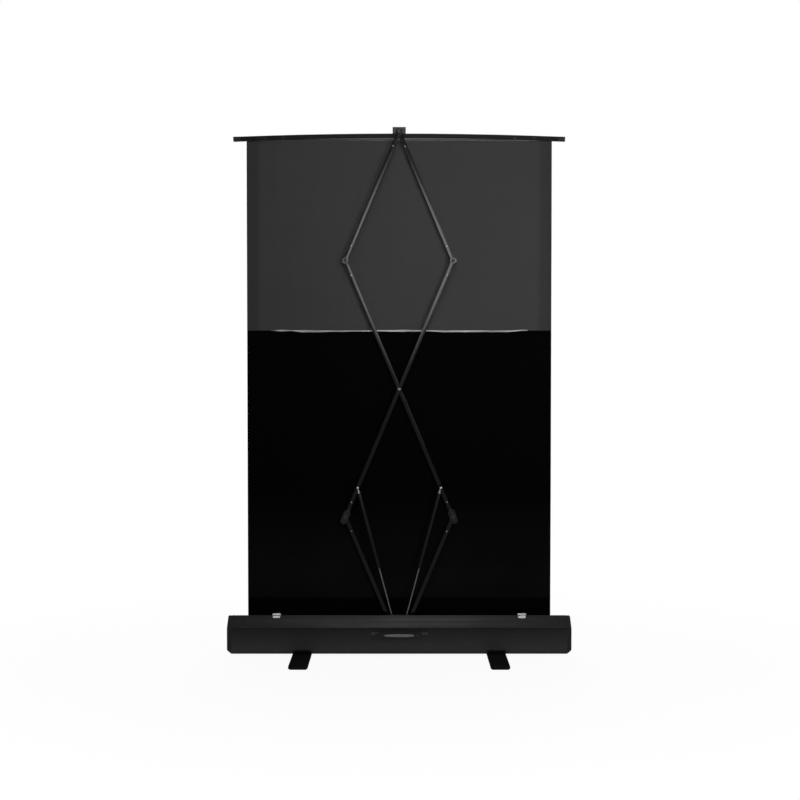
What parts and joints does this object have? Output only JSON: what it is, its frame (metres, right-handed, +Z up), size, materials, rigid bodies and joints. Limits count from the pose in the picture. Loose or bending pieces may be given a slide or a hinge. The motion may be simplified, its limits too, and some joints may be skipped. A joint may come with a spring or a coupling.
{
  "type": "portable projection screen",
  "caption": "Floor-standing pull-up projection screen: long case with swivel feet, spring roller sheet, scissor arms with gas struts and a slim bowed top bar.",
  "frame": {"origin": "on the floor, under the middle of the case", "axes": "+X along the case, +Y to the picture side, +Z up; the linkage is on the -Y side"},
  "size_m": [1.404, 0.44, 2.1722],
  "materials": {
    "case_metal": "satin black",
    "end_plastic": "fine grain",
    "nylon": "moulded",
    "grip_rubber": "moulded",
    "foot_metal": "matt black",
    "pad_rubber": "moulded",
    "steel": "turned",
    "bracket_metal": "satin black",
    "arm_metal": "dark anodised",
    "knuckle_plastic": "moulded",
    "bar_metal": "black anodised",
    "batten_metal": "anodised",
    "strut_paint": "black",
    "strut_chrome": "polished",
    "roller_metal": "mill",
    "plug_plastic": "moulded",
    "sheet_grey": "satin vinyl back",
    "sheet_black": "black vinyl",
    "sheet_white": "matt white",
    "seam_pale": "clear weld"
  },
  "bodies": {
    "case": {"rear_shell": "case_metal", "front_shell": "case_metal", "left_end_cap": "end_plastic", "right_end_cap": "end_plastic", "case_screws": "steel", "base_bracket": "bracket_metal", "base_pin": "steel", "strut_pins": "steel", "bracket_bolts": "steel", "roller_brackets": "bracket_metal", "spring_shaft": "steel", "fabric_guide_rod": "steel", "hinge_leaves": "nylon", "handle_mounts": "grip_rubber", "handle_grip": "grip_rubber", "handle_screws": "steel", "foot_bolts": "steel", "picture_fabric": "sheet_grey", "picture_face": "sheet_white", "black_drop": "sheet_black", "seam_strip": "seam_pale"},
    "lid": {"lid_panel": "case_metal", "lid_knuckles": "nylon"},
    "foot_left": {"left_foot": "foot_metal", "left_foot_pads": "pad_rubber"},
    "foot_right": {"right_foot": "foot_metal", "right_foot_pads": "pad_rubber"},
    "roller": {"roller_tube": "roller_metal", "roller_plugs": "plug_plastic", "roller_spring": "steel", "fabric_roll": "sheet_black"},
    "bar": {"top_bar": "bar_metal", "bar_end_plugs": "end_plastic", "fabric_batten": "batten_metal", "bar_screws": "steel", "top_block": "bracket_metal", "top_pin": "steel"},
    "rod_left": {"left_strut_rod": "strut_chrome"},
    "rod_right": {"right_strut_rod": "strut_chrome"},
    "cylinder_left": {"left_strut_cylinder": "strut_paint"},
    "cylinder_right": {"right_strut_cylinder": "strut_paint"},
    "lower_left": {"lower_left_tube": "arm_metal", "lower_left_knuckles": "knuckle_plastic", "lower_left_rivets": "steel"},
    "lower_right": {"lower_right_tube": "arm_metal", "lower_right_knuckles": "knuckle_plastic", "lower_right_rivets": "steel"},
    "cross_a": {"cross_a_tube": "arm_metal", "cross_a_knuckles": "knuckle_plastic", "cross_a_rivets": "steel"},
    "cross_b": {"cross_b_tube": "arm_metal", "cross_b_knuckles": "knuckle_plastic", "cross_b_rivets": "steel"},
    "upper_left": {"upper_left_tube": "arm_metal", "upper_left_knuckles": "knuckle_plastic", "upper_left_rivets": "steel"},
    "upper_right": {"upper_right_tube": "arm_metal", "upper_right_knuckles": "knuckle_plastic", "upper_right_rivets": "steel"}
  },
  "joints": [
    {"name": "fold", "type": "hinge", "parent": "case", "child": "lower_left", "pos_m": [0, -0.00225, 0.042], "axis": [0, -1, 0], "range_deg": [0, 64.64], "deforming": ["picture_fabric", "picture_face", "black_drop", "seam_strip"]},
    {"name": "lower_right_turn", "type": "hinge", "parent": "case", "child": "lower_right", "pos_m": [0, -0.00225, 0.042], "axis": [0, 1, 0], "range_deg": [0, 64.64]},
    {"name": "lower_left_elbow", "type": "hinge", "parent": "lower_left", "child": "cross_a", "pos_m": [-0.22166, -0.00225, 0.56931], "axis": [0, 1, 0], "range_deg": [0, 129.29]},
    {"name": "lower_right_elbow", "type": "hinge", "parent": "lower_right", "child": "cross_b", "pos_m": [0.22166, -0.00225, 0.56931], "axis": [0, -1, 0], "range_deg": [0, 129.29]},
    {"name": "upper_right_elbow", "type": "hinge", "parent": "cross_a", "child": "upper_right", "pos_m": [0.22166, -0.00225, 1.62392], "axis": [0, -1, 0], "range_deg": [0, 129.29]},
    {"name": "upper_left_elbow", "type": "hinge", "parent": "cross_b", "child": "upper_left", "pos_m": [-0.22166, -0.00225, 1.62392], "axis": [0, 1, 0], "range_deg": [0, 129.29]},
    {"name": "bar_level", "type": "hinge", "parent": "upper_right", "child": "bar", "pos_m": [0, -0.00225, 2.15122], "axis": [0, 1, 0], "range_deg": [0, 64.64]},
    {"name": "rod_left_turn", "type": "hinge", "parent": "case", "child": "rod_left", "pos_m": [-0.029, -0.0195, 0.16], "axis": [0, -1, 0], "range_deg": [0, 86.99]},
    {"name": "rod_right_turn", "type": "hinge", "parent": "case", "child": "rod_right", "pos_m": [0.029, -0.0195, 0.16], "axis": [0, 1, 0], "range_deg": [0, 86.99]},
    {"name": "strut_left_slide", "type": "slide", "parent": "rod_left", "child": "cylinder_left", "axis": [-0.2575, 0, 0.9663], "range_m": [-0.12992, 0]},
    {"name": "strut_right_slide", "type": "slide", "parent": "rod_right", "child": "cylinder_right", "axis": [0.2575, 0, 0.9663], "range_m": [-0.12992, 0]},
    {"name": "roller_wind", "type": "hinge", "parent": "case", "child": "roller", "pos_m": [0, 0.0359, 0.056], "axis": [1, 0, 0], "range_deg": [0, 4694.1]},
    {"name": "lid_swing", "type": "hinge", "parent": "case", "child": "lid", "pos_m": [0, -0.03841, 0.1729], "axis": [-1, 0, 0], "range_deg": [0, 140]},
    {"name": "left_foot_swivel", "type": "hinge", "parent": "case", "child": "foot_left", "pos_m": [-0.398, 0, 0.009], "axis": [0, 0, 1], "range_deg": [0, 90]},
    {"name": "right_foot_swivel", "type": "hinge", "parent": "case", "child": "foot_right", "pos_m": [0.398, 0, 0.009], "axis": [0, 0, -1], "range_deg": [0, 90]}
  ],
  "couplings": [
    {"joint": "lower_right_turn", "follows": "fold", "ratio": 1},
    {"joint": "lower_left_elbow", "follows": "fold", "ratio": 2},
    {"joint": "lower_right_elbow", "follows": "fold", "ratio": 2},
    {"joint": "upper_right_elbow", "follows": "fold", "ratio": 2},
    {"joint": "upper_left_elbow", "follows": "fold", "ratio": 2},
    {"joint": "bar_level", "follows": "fold", "ratio": 1},
    {"joint": "rod_left_turn", "follows": "fold", "ratio": 1.3457},
    {"joint": "rod_right_turn", "follows": "fold", "ratio": 1.3457},
    {"joint": "strut_left_slide", "follows": "fold", "m_per_rad": -0.11515},
    {"joint": "strut_right_slide", "follows": "fold", "m_per_rad": -0.11515},
    {"joint": "roller_wind", "follows": "fold", "ratio": 72.614}
  ]
}
